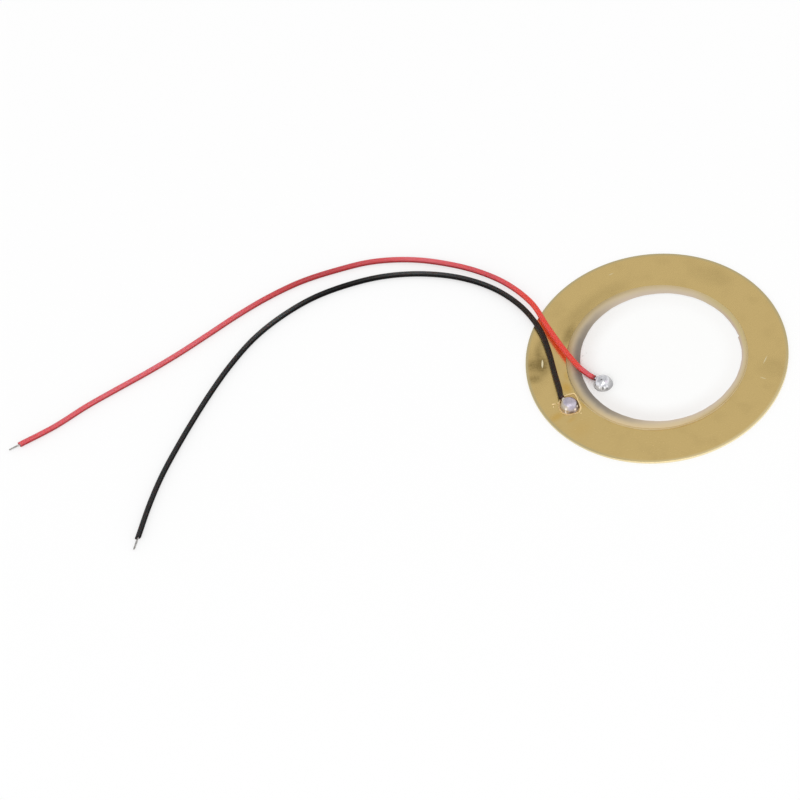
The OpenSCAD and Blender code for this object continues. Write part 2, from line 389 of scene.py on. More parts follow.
def rod(line, radius, sides):
    """Points and faces of a rod along a line, closed at both ends by a fan to the end's centre."""
    _, side, up = directions(line)
    a = around(sides)[None, :, None]
    radius = np.broadcast_to(radius, len(line))[:, None, None]
    rings = line[:, None] + radius * (np.cos(a) * side[:, None] - np.sin(a) * up[:, None])
    return capped(rings, line[0], line[-1])


def joined(parts):
    """Several (points, faces) as one: the corner numbers of each go up by the points before it."""
    before = np.cumsum([0] + [len(points) for points, _ in parts])
    return (np.vstack([points for points, _ in parts]),
            [f + n for (_, faces), n in zip(parts, before) for f in faces])


def strands(name, line, joint, angle, strip, spread, **settings):
    """Seven strands along a lead, from inside its joint to past the end of its sleeve.

    Strand k has its centre at line + r * (cos b * side + sin b * up), where b grows by one turn
    each lay. Over the bare length, called strip, r grows by spread * sin(pi * share), so the
    strands bulge and meet again where the tip was tinned, and each is cut at its own length."""
    way = (line[-1] - line[-2]) / np.linalg.norm(line[-1] - line[-2])
    buried = np.linspace(WIRE_START, SLEEVE_START, BURIED_STEPS, endpoint=False)
    share = np.arange(1, TIP_STEPS + 1)[:, None] / TIP_STEPS
    whole = np.vstack([exit_point(joint, angle, buried), line, line[-1] + share * strip * way])
    _, side, up = directions(whole)
    walked = travelled(whole)
    bared = np.clip((walked - walked[-1]) / strip + 1, 0, 1)
    out = 2 * STRAND_R + spread * np.sin(np.pi * bared)
    parts = [rod(whole, STRAND_R, STRAND_SIDES)]
    for k in range(OUTER_STRANDS):
        b = 2 * np.pi * (walked / STRAND_LAY + k / OUTER_STRANDS)
        wound = whole + out[:, None] * (np.cos(b)[:, None] * side + np.sin(b)[:, None] * up)
        wound[-1] -= (CUT_MEAN + CUT_SWING * math.cos(CUT_TURN * k)) * strip * way
        parts.append(rod(wound, STRAND_R, STRAND_SIDES))
    return piece(name, *joined(parts), slot="tinned_wire", **settings)


red_strands = strands("red_strands", red_line, RED_JOINT, RED_EXIT, RED_STRIP, RED_SPRING,
                      replaces=["red_lead_wire"])
black_strands = strands("black_strands", black_line, BLACK_JOINT, BLACK_EXIT, BLACK_STRIP,
                        BLACK_SPRING, replaces=["black_lead_wire"])

# %% [markdown]
# ## Round pieces
#
# The plate, the ceramic, the glue bead and the silver print are all turned round an axis: a profile
# of radius and height, carried round a circle. A cylinder from the menu would have knife edges that
# catch no light. With a profile the stamped edge of the brass rolls over, the ceramic's rim is
# eased, and the bead climbs the ceramic in a hollow curve. The profile may change with the angle,
# which lets the glue and the print wander a little, as they do.

# %% Turned surfaces
TURN_SIDES = 320
# Rings that break up a flat face, as shares of its radius
MIDWAY, NEAR_EDGE, BY_EDGE = 0.5, 0.9, 0.97


def turned(centre, radius, height, sides=TURN_SIDES):
    """Points and faces of a closed surface turned about Z.

    radius and height are rows of the profile, from the middle of the underside, out, up and back
    to the middle of the top; each is one number a row, or rows by sides. A point is
    centre + (radius * cos a, radius * sin a, height). A fan closes each end."""
    a = around(sides)
    radius, height = (row if np.ndim(row) == 2 else np.repeat(np.array(row, float)[:, None], sides, 1)
                      for row in (radius, height))
    rings = centre + polar(radius, a, height)
    ends = centre + np.array([[0, 0, height[0].mean()], [0, 0, height[-1].mean()]])
    return capped(rings, *ends)


def arc(centre, radius, start, stop, steps):
    """Points (radius, height) on an arc between two angles in degrees."""
    t = np.radians(np.linspace(start, stop, steps))
    return np.column_stack([centre[0] + radius * np.cos(t), centre[1] + radius * np.sin(t)])


# %% Brass plate
ROLL_R = 0.06 * MM
BURR_H = 0.012 * MM
BURR_W = 0.03 * MM


def brass_plate():
    """Sheet with a rolled upper edge, a straight sheared wall and a small burr at its foot."""
    profile = np.vstack([
        [MIDWAY * PLATE_R, 0], [NEAR_EDGE * PLATE_R, 0], [PLATE_R - BURR_W, 0],
        [PLATE_R - BURR_W / 3, 0], [PLATE_R, BURR_H], [PLATE_R - BURR_W / 4, 2 * BURR_H],
        arc([PLATE_R - ROLL_R, PLATE_TOP - ROLL_R], ROLL_R, 0, 90, 6),
        [NEAR_EDGE * PLATE_R, PLATE_TOP], [MIDWAY * PLATE_R, PLATE_TOP]])
    return piece("plate", *turned([0, 0, 0], profile[:, 0], profile[:, 1]),
                 replaces=["brass_plate"], slot="brass_sheet")


plate = brass_plate()

# %% Ceramic disc
RIM_R = 0.03 * MM


def ceramic():
    """Disc with an eased rim: a short arc at the foot, straight wall, quarter arc, flat top."""
    profile = np.vstack([
        [MIDWAY * CERAMIC_R, CERAMIC_FOOT], [CERAMIC_R - RIM_R, CERAMIC_FOOT],
        arc([CERAMIC_R - RIM_R, CERAMIC_FOOT + RIM_R], RIM_R, -60, 0, 3),
        arc([CERAMIC_R - RIM_R, CERAMIC_TOP - RIM_R], RIM_R, 0, 90, 5),
        [NEAR_EDGE * CERAMIC_R, CERAMIC_TOP], [MIDWAY * CERAMIC_R, CERAMIC_TOP]])
    return piece("ceramic", *turned([0, 0, 0], profile[:, 0], profile[:, 1]),
                 replaces=["ceramic_disc"], slot="piezo_ceramic")


ceramic_piece = ceramic()

# %% Glue film and bead
BEAD_STEPS = 7
BEAD_SLACK = 0.02 * MM
FILM_TUCK = 0.01 * MM
BEAD_WAVES = [(0.02 * MM, 3, 0.4), (0.015 * MM, 8, 1.9), (0.01 * MM, 21, 0.7)]


def glue():
    """Film under the ceramic, ending in a bead that climbs the ceramic's wall in a hollow curve.

    From the wall the bead's height falls as top * (1 - share) squared, and its width wanders with
    the angle in a few waves. It is narrower than the CAD bead by the slack."""
    a = around(TURN_SIDES)
    share = np.linspace(1, 0, BEAD_STEPS)[:, None]
    width = BEAD_R - CERAMIC_R - BEAD_SLACK + ripple(a, *BEAD_WAVES)
    radius = CERAMIC_R + share * width
    height = PLATE_TOP + (BEAD_TOP - PLATE_TOP) * (1 - share) ** 2 + 0 * radius
    under = np.full((2, TURN_SIDES), PLATE_TOP)
    over = np.full((2, TURN_SIDES), CERAMIC_FOOT)
    return piece("glue", *turned(
        [0, 0, 0],
        np.vstack([0 * a + MIDWAY * CERAMIC_R, 0 * a + CERAMIC_R, radius,
                   0 * a + CERAMIC_R - FILM_TUCK, 0 * a + MIDWAY * CERAMIC_R]),
        np.vstack([under, height, over])), replaces=["bond_layer"], slot="adhesive")


glue_piece = glue()

# %% Silver print
SPUR_ANGLE = math.radians(9.5)
SPUR, SPUR_REACH = 0.13 * MM, 0.03
STEP, STEP_REACH = 0.14 * MM, 0.12
BULGE, BULGE_ANGLE, BULGE_WIDTH = 0.13 * MM, math.radians(-10), 0.7
PRINT_WAVES = [(0.02 * MM, 5, 0.3), (0.012 * MM, 17, 2.2), (0.008 * MM, 41, 1.1)]
PRINT_EDGE = 0.006 * MM


def silver_print():
    """Printed disc whose edge wanders a little and has one flaw where the print began.

    Below the flaw's angle the edge steps back and soon comes out again, and just above it a small
    spur sticks out: each is size * exp(-angle from the flaw / reach). Round the bulge's angle the
    edge swells by bulge * exp(-(turn / width)^2)."""
    a = around(TURN_SIDES)
    past = (SPUR_ANGLE - a) % (2 * np.pi)
    before = (a - SPUR_ANGLE) % (2 * np.pi)
    turn = (a - BULGE_ANGLE + np.pi) % (2 * np.pi) - np.pi
    edge = (PRINT_R + ripple(a, *PRINT_WAVES) - STEP * np.exp(-past / STEP_REACH)
            + SPUR * np.exp(-before / SPUR_REACH) + BULGE * np.exp(-(turn / BULGE_WIDTH) ** 2))
    share = np.array([MIDWAY, 1, 1, 1, BY_EDGE, NEAR_EDGE, MIDWAY])[:, None]
    inset = np.array([0, PRINT_EDGE, 0, PRINT_EDGE, 0, 0, 0])[:, None]
    foot = PRINT_FOOT[2]
    height = [foot, foot, foot + PRINT_EDGE / 2, PRINT_TOP, PRINT_TOP, PRINT_TOP, PRINT_TOP]
    return piece("silver_print", *turned(PRINT_AXIS, share * edge - inset, height),
                 replaces=["upper_electrode"], slot="printed_silver")


silver = silver_print()

# %% [markdown]
# ## Solder joints
#
# Solder wets the metal and is pulled into a drop by its surface tension. The drop stands steep on a
# thin foot and is flatter on top than a ball, so its profile is a superellipse with a small toe.
# Hand soldering leaves it uneven where the iron left and where the wire goes in. The grid runs from
# foot to top, and soft lumps are added along the line from the middle of the base.

# %% Domes
DOME_SIDES = 128
DOME_STEPS = 48
DOME_FULL = 2.25
DOME_WAIST = 1.24 * MM
# The rows end at this many degrees, just short of the top, and a power gathers them at the foot
DOME_END, DOME_GATHER = 89, 1.4
DOME_WAVES = [(0.015, 3, 0.8), (0.01, 7, 2.1)]
TOE = 0.05 * MM
# Lumps reach their full height at this share of the way up
LUMP_START = 0.3
WICK_STEPS, WICK_SIDES = 8, 32
WICK_START, WICK_LENGTH = 0.45 * MM, 0.77 * MM
WICK_R, WICK_FLARE = 0.24 * MM, 0.14 * MM


def dome(joint, lumps):
    """Points and faces of a solder drop with a thin toe.

    With t from 0 at the foot to 90 degrees at the top and n the fullness, the height is
    top * sin(t) ^ (2 / n) and the radius waist * cos(t) ^ (2 / n), plus a toe of
    (foot - waist) * exp(-height / toe). A lump (turn, rise, width, height) pushes a point out by
    height * exp(-(d / width)^2), with d the distance between the unit vectors to the point and
    to the lump."""
    t = np.radians(DOME_END * np.linspace(0, 1, DOME_STEPS) ** DOME_GATHER)[:, None]
    a = around(DOME_SIDES)[None, :]
    height = DOME_R * np.sin(t) ** (2 / DOME_FULL) + 0 * a
    radius = DOME_WAIST * np.cos(t) ** (2 / DOME_FULL) + (FOOT_R - DOME_WAIST) * np.exp(-height / TOE)
    radius = radius * (1 + ripple(a, *DOME_WAVES))
    spot = polar(radius, a, height)
    way = spot / np.linalg.norm(spot, axis=-1, keepdims=True)
    push = np.zeros(way.shape[:2])
    for turn, rise, width, lump in lumps:
        push += lump * np.exp(-((way - heading(turn, rise)) ** 2).sum(-1) / width**2)
    spot += (push * np.minimum(1, height / (LUMP_START * DOME_R)))[..., None] * way
    return capped(joint + spot, joint, joint + spot[-1].mean(0))


def wick(joint, angle):
    """Points and faces of the solder that was drawn along the strands, up to the sleeve.

    Its radius is radius + flare * (1 - share)^2, with share the part of the way from the dome."""
    share = np.linspace(0, 1, WICK_STEPS)
    line = exit_point(joint, angle, WICK_START + share * WICK_LENGTH)
    return rod(line, WICK_R + WICK_FLARE * (1 - share) ** 2, WICK_SIDES)


def solder_joint(name, joint, angle, lumps, **settings):
    """Dome and wick as one piece."""
    return piece(name, *joined([dome(joint, lumps), wick(joint, angle)]), **settings)


RED_LUMPS = [(145, 30, 0.4, 0.06 * MM), (300, 60, 0.35, 0.04 * MM), (40, 55, 0.3, 0.05 * MM),
             (200, 70, 0.28, -0.05 * MM), (250, 30, 0.3, 0.05 * MM), (340, 25, 0.35, -0.05 * MM),
             (90, 75, 0.25, -0.04 * MM), (280, 85, 0.2, 0.03 * MM), (215, 45, 0.22, -0.04 * MM)]
BLACK_LUMPS = [(130, 30, 0.4, 0.06 * MM), (20, 50, 0.5, -0.05 * MM), (230, 40, 0.4, 0.03 * MM),
               (300, 30, 0.3, -0.03 * MM), (330, 65, 0.35, 0.02 * MM)]
red_joint = solder_joint("red_joint", RED_JOINT, RED_EXIT, RED_LUMPS,
                         replaces=["red_solder_joint"], slot="bright_solder")
black_joint = solder_joint("black_joint", BLACK_JOINT, BLACK_EXIT, BLACK_LUMPS,
                           replaces=["black_solder_joint"], slot="satin_solder")

# %% [markdown]
# ## Flux
#
# The rosin that helped the solder flow has dried to a thin amber film round the black joint. It is
# thickest where it climbs the foot and in a raised rim at its edge, because the drop dried from the
# outside in, and it stops at the glue bead. A few small drops spat out beside it. It could be
# painted into the brass, but then nothing would catch the light, so it has a thickness of its own.

# %% Flux film
FLUX_SIDES, FLUX_STEPS = 240, 30
FLUX_GAP = 0.03 * MM
FLUX_TUCK = 0.03 * MM
FLUX_LIFT = 0.002 * MM
# Share of the way to the edge at which the last row of the top lies
LAST_ROW = 0.98
# Share of the CAD film's thickness on the flat, and the width of the climb at the foot
FLAT_SHARE, CLIMB_WIDTH = 0.3, 0.12
# Height, place and width of the raised rim, as shares
RIM_SHARE, RIM_PLACE, RIM_WIDTH = 0.8, 0.9, 0.07
# Height of a spat drop, and where the last ring round its middle lies, as shares of its radius
CAP_SHARE, CAP_MIDDLE = 0.4, 0.1
DROP_SIDES, DROP_STEPS = 24, 8
DROP_MARK = 0.1 * MM
# Outline as turn in degrees and reach in mm from the joint's axis
FLUX_OUTLINE = np.array([[-48, 1.75], [-20, 1.62], [6, 1.42], [30, 1.5], [48, 1.75], [60, 2.12],
                         [68, 2.26], [80, 2.12], [95, 2.02], [125, 1.8], [160, 1.55],
                         [200, 1.5], [235, 1.55], [265, 1.5], [290, 1.55]])
# Drops as x and y from the joint's axis, and radius, in mm
FLUX_DROPS = np.array([[-2.12, 0.62, 0.17], [-1.86, 0.66, 0.13], [-1.42, 0.76, 0.14],
                       [-2.13, 0.22, 0.09], [1.4, -1.4, 0.09]])


def flux_reach(a):
    """How far the film reaches at each turn: the outline, smoothed, or up to the glue bead.

    The bead's circle of radius R round the plate's centre lies at d cos t - sqrt(R^2 - (d sin t)^2)
    from the joint, with d the distance between the centres and t the turn from their line."""
    turns, reaches = np.radians(FLUX_OUTLINE[:, 0]), FLUX_OUTLINE[:, 1] * MM
    outline = np.interp(a, turns, reaches, period=2 * np.pi)
    outline = (np.roll(outline, 1) + 2 * outline + np.roll(outline, -1)) / 4
    apart = math.hypot(*BLACK_JOINT[:2])
    t = a - math.atan2(-BLACK_JOINT[1], -BLACK_JOINT[0])
    inside = (BEAD_R + FLUX_GAP) ** 2 - (apart * np.sin(t)) ** 2
    bead = apart * np.cos(t) - np.sqrt(np.maximum(inside, 0))
    return np.where((inside > 0) & (np.cos(t) > 0), np.minimum(outline, bead), outline)


def flux_film():
    """Ring of film as a grid closed both ways: along its underside, and back over its top.

    With u the share of the way from the foot to the edge, the top is at thickness * (flat
    + exp(-(u / climb)^2) + rim * exp(-((u - place) / width)^2)), and 0 at the edge. Also gives
    how far each point is from the edge."""
    a = around(FLUX_SIDES)
    inner = FOOT_R - FLUX_TUCK
    u = np.concatenate([np.linspace(0, LAST_ROW, FLUX_STEPS), [1.0]])
    top = FLUX_T * (FLAT_SHARE + np.exp(-(u / CLIMB_WIDTH) ** 2)
                    + RIM_SHARE * np.exp(-(((u - RIM_PLACE) / RIM_WIDTH) ** 2)))
    top[-1] = 0
    share = np.concatenate([[0], u[::-1]])[:, None]
    height = FLUX_LIFT + np.concatenate([[0], top[::-1]])[:, None] + 0 * a
    width = flux_reach(a) - inner
    reach = inner + share * width
    rings = BLACK_JOINT + polar(reach, a, height)
    from_edge = ((1 - share) * width).ravel()
    return rings.reshape(-1, 3), [quads(len(share), FLUX_SIDES, loop=True)], from_edge


def flux_drop(x, y, r):
    """A flat cap whose height falls from the middle to 0 at the edge as 1 - u squared.

    A distance from the edge below 0 marks it as a drop for the finish."""
    u = np.linspace(1, CAP_MIDDLE, DROP_STEPS)
    radius = np.concatenate([[MIDWAY * r], r * u])
    height = np.concatenate([[0], CAP_SHARE * r * (1 - u**2)])
    points, faces = turned(BLACK_JOINT + [x, y, FLUX_LIFT], radius, height, sides=DROP_SIDES)
    return points, faces, np.full(len(points), -DROP_MARK)


flux_parts = [flux_film()] + [flux_drop(*drop) for drop in FLUX_DROPS * MM]
flux = piece("flux", *joined([part[:2] for part in flux_parts]),
             replaces=["flux_residue"], slot="flux")
mark(flux, "from_edge", np.concatenate([part[2] for part in flux_parts]) / MM)

# %% [markdown]
# ## Finishes
#
# A finish is a small tree of nodes. Written node by node it is hard to read, so two helpers turn
# shader maths into plain expressions. A Level wraps a node's output, and + - * / on it add Math
# nodes. A Finish holds the material, makes any node from its type, settings and inputs, and knows
# the few patterns that this part needs.

# %% Levels
def srgb(*parts):
    """Colour from 0 to 255 as linear light: ((c + 0.055) / 1.055) ^ 2.4 above the linear foot."""
    c = np.array(parts) / 255
    return tuple(np.where(c > 0.04045, ((c + 0.055) / 1.055) ** 2.4, c / 12.92))


class Level:
    """A number on a node's output. Arithmetic with it adds Math nodes to its finish."""

    def __init__(self, finish, socket):
        self.finish, self.socket = finish, socket

    def maths(self, operation, *values):
        """The Math node with that operation on those values, this Level among them."""
        return self.finish.node("ShaderNodeMath", {"operation": operation},
                                dict(enumerate(values)))

    def __add__(self, other):
        return self.maths("ADD", self, other)

    def __sub__(self, other):
        return self.maths("SUBTRACT", self, other)

    def __rsub__(self, other):
        return self.maths("SUBTRACT", other, self)

    def __mul__(self, other):
        return self.maths("MULTIPLY", self, other)

    def __truediv__(self, other):
        return self.maths("DIVIDE", self, other)

    __radd__ = __add__
    __rmul__ = __mul__

    def rise(self, low, high):
        """0 below low, 1 above high, and an S curve between them."""
        return self.finish.node("ShaderNodeMapRange", {"interpolation_type": "SMOOTHSTEP"},
                                {"Value": self, "From Min": low, "From Max": high})


# A half depth that stands for all the way up and down, in mm
TALL = 1e4


class Nodes:
    """A tree of nodes, of a material or of the sky."""

    def __init__(self, tree):
        self.tree = tree

    def set(self, node, socket, value):
        """Links a Level to a socket, or sets the socket to a number, a colour or a vector."""
        place = node.inputs[socket]
        if isinstance(value, Level):
            self.tree.links.new(value.socket, place)
        elif np.ndim(value) == 1:
            place.default_value = (*value, 1)[:len(place.default_value)]
        else:
            place.default_value = value

    def node(self, kind, settings=None, inputs=None, out=0):
        """Any node: its type, its settings first, then its inputs; gives the output as a Level."""
        made = self.tree.nodes.new(kind)
        for setting, value in (settings or {}).items():
            setattr(made, setting, value)
        for socket, value in (inputs or {}).items():
            self.set(made, socket, value)
        return Level(self, made.outputs[out])


class Finish(Nodes):
    """A material under construction. Numbers that are the same all over go in by name."""

    def __init__(self, name, **constants):
        self.material = bpy.data.materials.new(name)
        self.material.use_nodes = True
        super().__init__(self.material.node_tree)
        self.tree.nodes.clear()
        self.shader = self.tree.nodes.new("ShaderNodeBsdfPrincipled")
        self.output = self.tree.nodes.new("ShaderNodeOutputMaterial")
        self.tree.links.new(self.shader.outputs[0], self.output.inputs["Surface"])
        self.feed(**constants)

    def feed(self, **levels):
        """Sets the shader's sockets, each named with _ for a space, to Levels or to constants."""
        for socket, value in levels.items():
            self.set(self.shader, socket.replace("_", " "), value)

    def place(self):
        """Where a point is on the part, as a vector in millimetres."""
        return self.node("ShaderNodeVectorMath", {"operation": "SCALE"},
                         {0: self.node("ShaderNodeTexCoord", out="Object"), "Scale": 1 / MM})

    def away(self, centre):
        """The way to a point from a centre given in metres, as a vector in millimetres."""
        return self.node("ShaderNodeVectorMath", {"operation": "SUBTRACT"},
                         {0: self.place(), 1: tuple(np.array(centre) / MM)})

    def split(self, vector):
        """The three numbers of a vector."""
        made = self.tree.nodes.new("ShaderNodeSeparateXYZ")
        self.set(made, 0, vector)
        return [Level(self, socket) for socket in made.outputs]

    def stretched(self, vector, scale, turn=0.0):
        """A vector scaled along each axis, then turned about Z by an angle.

        Noise is drawn out along an axis whose scale is small, and 0 leaves an axis out. The turn
        only takes the noise from another place."""
        return self.node("ShaderNodeMapping", {"vector_type": "POINT"},
                         {"Vector": vector, "Scale": scale, "Rotation": (0, 0, turn)})

    def clouds(self, vector, scale, detail=2.0, rough=0.5):
        """Soft noise from 0 to 1 with that many features a millimetre."""
        return self.node("ShaderNodeTexNoise", {"normalize": True},
                         {"Vector": vector, "Scale": scale, "Detail": detail, "Roughness": rough})

    def length(self, vector):
        """How long a vector is."""
        return self.node("ShaderNodeVectorMath", {"operation": "LENGTH"}, {0: vector}, out="Value")

    def blot(self, vector, centre, size, turn=0.0, core=0.0, strength=1.0):
        """The strength in the core of an ellipse, falling to 0 at its edge.

        size is half its length and half its width, and turn is the way its length points, in
        degrees. With a third number, centre and size give its height and half its depth; without,
        it reaches all the way up and down. The vector is carried to the ellipse's own frame,
        where the edge is 1 away."""
        local = self.node("ShaderNodeMapping", {"vector_type": "TEXTURE"}, {
            "Vector": vector, "Location": (*centre, 0)[:3], "Scale": (*size, TALL)[:3],
            "Rotation": (0, 0, math.radians(turn))})
        return strength * (1 - self.length(local).rise(core, 1))

    def blots(self, vector, *ellipses):
        """Sum of blots."""
        return sum(self.blot(vector, *ellipse) for ellipse in ellipses)

    def toward(self, vector, turn):
        """Cosine of the turn between the way to a point and a way in plan, in degrees."""
        t = math.radians(turn)
        way = self.node("ShaderNodeVectorMath", {"operation": "NORMALIZE"}, {0: vector})
        return self.node("ShaderNodeVectorMath", {"operation": "DOT_PRODUCT"},
                         {0: way, 1: (math.cos(t), math.sin(t), 0)}, out="Value")

    def facing(self, vector, turn, low):
        """1 on the side that a way in plan points to, falling to 0 where the cosine is low."""
        return self.toward(vector, turn).rise(low, 1.0)

    def tint(self, base, over, amount):
        """One colour over another, by an amount from 0 to 1.

        The Mix node has sockets of every type under the same names, so they go by number here."""
        return self.node("ShaderNodeMix", {"data_type": "RGBA", "clamp_factor": True},
                         {0: amount, 6: base, 7: over}, out=2)

    def layers(self, shade, *covers):
        """A colour with others laid over it in turn, each a pair of a colour and an amount."""
        for colour, amount in covers:
            shade = self.tint(shade, colour, amount)
        return shade

    def bump(self, height, depth):
        """A normal from a height of 0 to 1 that stands for that depth in metres."""
        return self.node("ShaderNodeBump", {},
                         {"Height": height, "Distance": depth, "Strength": 1.0})

    def seen(self):
        """1 for what the camera, a mirror or a glass sees, and 0 for the light on things."""
        rays = sum(self.node("ShaderNodeLightPath", out=f"Is {kind} Ray")
                   for kind in ("Camera", "Glossy", "Transmission"))
        return rays.maths("MINIMUM", rays, 1.0)

    def glow(self, amount):
        """Mixes the surface with a plain white light, by an amount from 0 to 1."""
        light = self.node("ShaderNodeEmission", {}, {"Strength": 1.0})
        mixed = self.node("ShaderNodeMixShader", {},
                          {0: amount, 1: Level(self, self.shader.outputs[0]), 2: light})
        self.set(self.output, "Surface", mixed)

    def on(self, *pieces):
        """Gives the finish to pieces, in place of whatever they had."""
        for made in pieces:
            made.data.materials.clear()
            made.data.materials.append(self.material)
        print(f"{self.material.name}: {len(self.tree.nodes)} nodes on",
              ", ".join(made.name for made in pieces))


# %% [markdown]
# ## Brass
#
# The sheet is cold rolled, so it has a fine grain and an even satin gloss, and in it the leads are
# mirrored. Olive patches on the side of the leads are painted dark reflection of the leads and of
# dark surroundings, and it is golden where the flux has cleaned it. Its rolled edge and sheared wall
# are painted bright in front as a painted highlight, and the edge is duller elsewhere. The dark
# patches are painted as soft ellipses, broken up by noise that is stretched two ways, because a
# plain blot would look sprayed on.

# %% Brass finish
BRASS = srgb(225, 196, 131)
BRASS_OLIVE = srgb(212, 184, 122)
BRASS_DARK_REFLECTION = srgb(152, 130, 80)
# Painted dark reflection of the leads and of dark surroundings
BRASS_GOLD = srgb(222, 178, 86)
BRASS_BRIGHT = srgb(252, 240, 200)
BRASS_EDGE = srgb(206, 190, 144)
# Way in plan, in degrees, in which the edge is painted bright as a painted highlight
BRASS_HIGHLIGHT_WAY = 300
# How far in from the rim the edge's tone begins and is full, in mm
EDGE_IN = (0.5, 0.1)
# How far down from the top the wall's tone is full and begins, in mm
WALL_DOWN = (0.08, 0.01)
# Ellipses as centre, half sizes, turn in degrees, core and strength, in millimetres
# The first list is painted dark reflection of the leads and of dark surroundings
PAINTED_DARK_REFLECTIONS = [((-11.3, 5.4), (2.8, 1.1), 64, 0.1, 0.8), ((-9.6, 8.6), (5.5, 2.0), 45, 0.1, 0.35),
           ((-5.0, 12.0), (4.5, 1.9), 25, 0.1, 0.25), ((-15.4, 4.0), (2.2, 0.9), 75, 0.1, 0.5),
           ((-16.2, 1.2), (2.0, 1.5), 176, 0.1, 0.6), ((-16.6, -1.1), (1.6, 1.1), 184, 0.1, 0.55),
           ((-15.2, 0.6), (1.9, 1.2), 90, 0.1, 0.5), ((-15.9, 0.9), (4.4, 2.6), 84, 0.2, 0.45),
           ((-15.2, 2.0), (1.9, 1.1), 100, 0.1, 0.45), ((8.6, 12.6), (4.6, 2.4), 145, 0.2, 0.16),
           ((15.2, -4.1), (2.6, 3.2), 75, 0.2, 0.18)]
GOLDEN = [((-12.4, -3.2), (1.5, 0.9), 105, 0.1), ((-14.2, -7.8), (1.6, 0.9), 29, 0.1, 0.8),
          ((-12.3, -8.6), (1.2, 0.5), 35, 0.0, 0.5), ((-10.5, -6.3), (1.0, 0.5), 100, 0.0, 0.7),
          ((-11.3, -10.3), (2.8, 2.2), 42, 0.0, 0.25), ((-12.2, -1.2), (0.6, 1.2), 0, 0.0, 0.6)]
SCRATCHES = [((-15.2, 1.3), (0.8, 0.15), 84, 0.6), ((14.2, -2.6), (0.9, 0.09), 62, 0.3, 0.8),
             ((13.6, -5.6), (0.6, 0.08), 150, 0.3, 0.7), ((-4.6, 14.9), (0.5, 0.09), 20, 0.3, 0.6)]


def brass_finish():
    """Mottled satin metal, then painted dark reflection, gold, scratches, and the rolled edge and the
    sheared wall with a painted highlight in front.
    """
    finish = Finish("brass", Metallic=1.0)
    place = finish.place()
    mottle = finish.clouds(place, 0.35, 3.0)
    grain = finish.clouds(finish.stretched(place, (0.5, 2.6, 1.0), 0.4), 5.0, 3.0, 0.6)
    cross = finish.clouds(finish.stretched(place, (2.6, 0.5, 1.0), -0.7), 5.0, 3.0, 0.6)
    hatch = (grain + cross).rise(0.75, 1.25)
    # Painted dark reflection of the leads and of dark surroundings, broken up by the hatch
    dark_reflection = finish.blots(place, *PAINTED_DARK_REFLECTIONS)
    # Painted highlight on the rolled edge and the wall, strongest in front
    rolled = finish.length(place).rise(*(PLATE_R / MM - inset for inset in EDGE_IN))
    front = finish.facing(place, BRASS_HIGHLIGHT_WAY, 0.3)
    _, _, height = finish.split(place)
    wall = 1 - height.rise(*(PLATE_TOP / MM - depth for depth in WALL_DOWN))
    shade = finish.layers(
        BRASS, (BRASS_OLIVE, mottle.rise(0.45, 0.75) * 0.5),
        (BRASS_DARK_REFLECTION, dark_reflection * (0.6 + 0.4 * hatch)),
        (BRASS_GOLD, finish.blots(place, *GOLDEN) * 0.7),
        (BRASS_BRIGHT, finish.blots(place, *SCRATCHES)),
        (BRASS_BRIGHT, rolled * front * 0.5), (BRASS_EDGE, rolled * (1 - front)),
        (BRASS_BRIGHT, wall * (0.4 + 0.4 * front)))
    finish.feed(Base_Color=shade, Roughness=0.24 + 0.05 * grain + 0.2 * dark_reflection * hatch,
                Normal=finish.bump(grain + cross, depth=0.0012 * MM))
    return finish


brass_finish().on(plate)

# %% [markdown]
# ## Ceramic and glue
#
# The bare margin of the ceramic is nearly the colour of the brass. It gets paler towards the
# silver, and on the far side it takes a brassy and then a mauve tone. On the side of the leads it is
# painted grey towards the silver and darker at its rim, as painted dark reflection of the leads and
# of dark surroundings, and on the other side it is a little greyer near the silver as painted shade.
# A picture laid over the disc could hold all that, but it would no longer fit after a change of
# size. So the colour is worked out from how far a point is from the ceramic's rim to the edge of the
# print, which is off centre, and from the way to it.

# %% Ceramic finish
RIM_TAN = srgb(191, 169, 123)
MARGIN_BEIGE = srgb(200, 183, 152)
# Painted dark reflection towards the silver on the side of the leads
MARGIN_GREY_REFLECTION = srgb(120, 112, 104)
# Painted shade near the silver on the side away from the leads
BLUSH = srgb(196, 179, 166)
# Painted dark reflection at the rim and on the glue on the side of the leads
RIM_DARK_REFLECTION = srgb(148, 128, 80)
PALE_RIM = srgb(214, 192, 152)
BRASSY = srgb(190, 172, 118)
MAUVE = srgb(184, 162, 158)
# Ways in plan that the tones of the margin and of the glue point to, in degrees
GREY_REFLECTION_WAY, RIM_REFLECTION_WAY, BRASSY_WAY, MAUVE_WAY, PALE_WAY = 187, 152, 25, 5, 258


